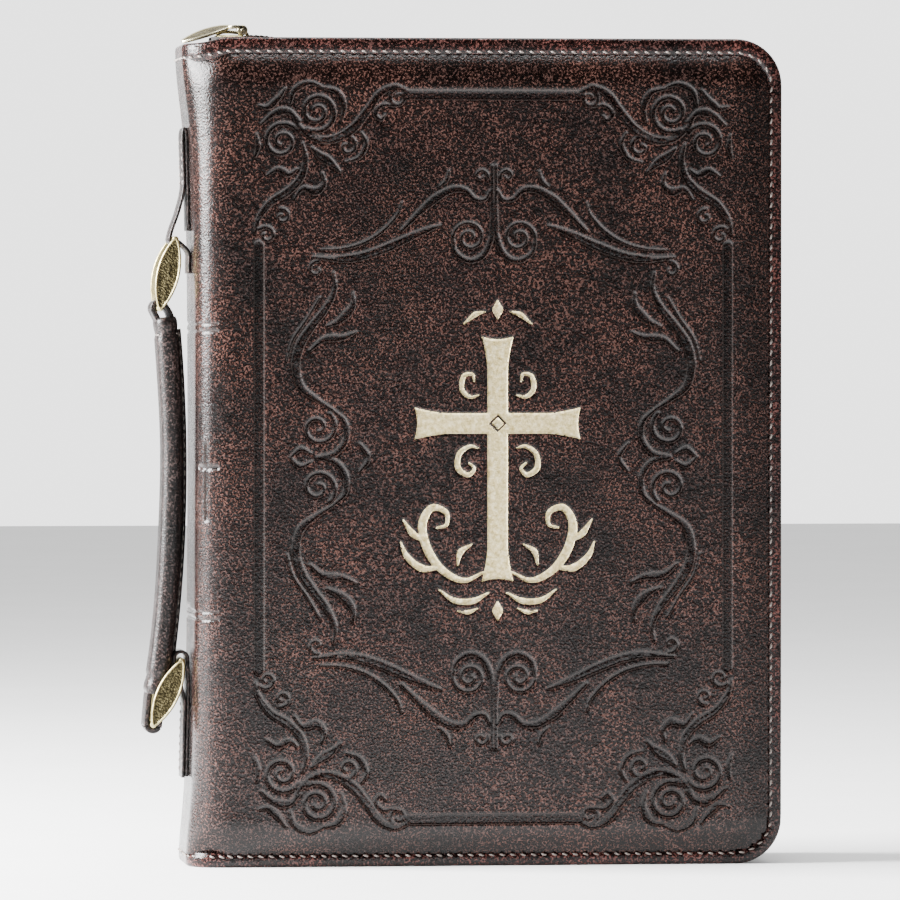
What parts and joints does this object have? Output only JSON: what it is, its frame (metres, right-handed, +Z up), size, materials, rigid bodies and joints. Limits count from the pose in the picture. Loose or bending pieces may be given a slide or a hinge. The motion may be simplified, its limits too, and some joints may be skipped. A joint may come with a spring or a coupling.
{
  "type": "zipped bible case",
  "caption": "Zipped leather-look case holding a Bible, with padded embossed covers, a gold cross, a handle on brass links along the spine, and pages that open with the covers.",
  "frame": {"origin": "centre of the whole part's footprint, handle included, on the surface that the case stands on", "axes": "+Z up along the spine, -Y out of the front cover, -X out of the spine"},
  "size_m": [0.2056, 0.0561, 0.2716],
  "materials": {
    "cover_leatherette": "glossy embossed leatherette, dark brown",
    "padding_foam": "soft foam",
    "stiff_board": "matte grey board",
    "lining_cloth": "matte woven nylon",
    "book_leather": "semi-matte bonded leather, near black",
    "page_paper": "matte thin paper",
    "zip_tape_cloth": "matte woven tape",
    "zip_teeth_metal": "antique plated metal",
    "antique_brass": "antique brass, bright on the rims",
    "gold_foil": "hot-stamped pale gold foil",
    "sewing_thread": "waxed thread",
    "ribbon_satin": "satin ribbon",
    "band_cotton": "striped cotton"
  },
  "bodies": {
    "spine": {"spine_skin": "cover_leatherette", "spine_board": "stiff_board", "spine_lining": "lining_cloth", "spine_head_gusset": "cover_leatherette", "spine_foot_gusset": "cover_leatherette", "zip_head_tab": "cover_leatherette", "zip_foot_tab": "cover_leatherette", "upper_anchor_strap": "cover_leatherette", "lower_anchor_strap": "cover_leatherette", "bible_spine": "book_leather", "page_spine_glue": "page_paper", "head_band": "band_cotton", "tail_band": "band_cotton", "ribbon_marker": "ribbon_satin"},
    "front_cover": {"front_skin": "cover_leatherette", "front_padding": "padding_foam", "front_board": "stiff_board", "front_lining": "lining_cloth", "front_sleeve": "lining_cloth", "front_bible_cover": "book_leather", "front_gusset": "cover_leatherette", "front_zip_tape": "zip_tape_cloth", "front_zip_teeth": "zip_teeth_metal", "front_seam_thread": "sewing_thread", "front_emblem": "gold_foil"},
    "back_cover": {"back_skin": "cover_leatherette", "back_padding": "padding_foam", "back_board": "stiff_board", "back_lining": "lining_cloth", "back_sleeve": "lining_cloth", "back_bible_cover": "book_leather", "back_gusset": "cover_leatherette", "back_zip_tape": "zip_tape_cloth", "back_zip_teeth": "zip_teeth_metal", "back_seam_thread": "sewing_thread"},
    "front_outer_pages": {"front_outer_pages": "page_paper"},
    "front_inner_pages": {"front_inner_pages": "page_paper"},
    "back_inner_pages": {"back_inner_pages": "page_paper"},
    "back_outer_pages": {"back_outer_pages": "page_paper"},
    "zip_slider": {"zip_slider": "antique_brass"},
    "zip_pull": {"zip_pull": "antique_brass"},
    "upper_link": {"upper_link": "antique_brass"},
    "handle_grip": {"handle_grip_cover": "cover_leatherette", "handle_core_strap": "cover_leatherette"},
    "lower_link": {"lower_link": "antique_brass"}
  },
  "joints": [
    {"name": "front_cover_hinge", "type": "hinge", "parent": "spine", "child": "front_cover", "pos_m": [-0.08122, -0.02665, 0], "axis": [0, 0, -1], "range_deg": [0, 90]},
    {"name": "back_cover_hinge", "type": "hinge", "parent": "spine", "child": "back_cover", "pos_m": [-0.08122, 0.02665, 0], "axis": [0, 0, 1], "range_deg": [0, 90]},
    {"name": "front_outer_pages_turn", "type": "hinge", "parent": "spine", "child": "front_outer_pages", "pos_m": [-0.07972, -0.017, 0], "axis": [0, 0, -1], "range_deg": [0, 45.5]},
    {"name": "front_inner_pages_turn", "type": "hinge", "parent": "spine", "child": "front_inner_pages", "pos_m": [-0.07972, -0.0084, 0], "axis": [0, 0, -1], "range_deg": [0, 15.5]},
    {"name": "back_outer_pages_turn", "type": "hinge", "parent": "spine", "child": "back_outer_pages", "pos_m": [-0.07972, 0.017, 0], "axis": [0, 0, 1], "range_deg": [0, 45.5]},
    {"name": "back_inner_pages_turn", "type": "hinge", "parent": "spine", "child": "back_inner_pages", "pos_m": [-0.07972, 0.0084, 0], "axis": [0, 0, 1], "range_deg": [0, 15.5]},
    {"name": "zip_slide", "type": "slide", "parent": "back_cover", "child": "zip_slider", "axis": [1, 0, 0], "range_m": [0, 0.15]},
    {"name": "zip_pull_hinge", "type": "hinge", "parent": "zip_slider", "child": "zip_pull", "pos_m": [-0.07042, 0, 0.27], "axis": [0, 1, 0], "range_deg": [0, 165]},
    {"name": "upper_link_swing", "type": "hinge", "parent": "spine", "child": "upper_link", "pos_m": [-0.09272, 0, 0.2022], "axis": [0, 1, 0], "range_deg": [0, 78]},
    {"name": "grip_swing", "type": "hinge", "parent": "upper_link", "child": "handle_grip", "pos_m": [-0.09772, 0, 0.1799], "axis": [0, 1, 0], "range_deg": [-80.5, 0]},
    {"name": "lower_link_swing", "type": "hinge", "parent": "handle_grip", "child": "lower_link", "pos_m": [-0.09992, 0, 0.0453], "axis": [0, 1, 0], "range_deg": [0, 72]}
  ],
  "couplings": [
    {"joint": "front_outer_pages_turn", "follows": "front_cover_hinge", "ratio": 0.5},
    {"joint": "front_inner_pages_turn", "follows": "front_cover_hinge", "ratio": 0.17},
    {"joint": "back_outer_pages_turn", "follows": "back_cover_hinge", "ratio": 0.5},
    {"joint": "back_inner_pages_turn", "follows": "back_cover_hinge", "ratio": 0.17},
    {"joint": "grip_swing", "follows": "upper_link_swing", "ratio": -1.0275},
    {"joint": "lower_link_swing", "follows": "upper_link_swing", "ratio": 0.92}
  ]
}
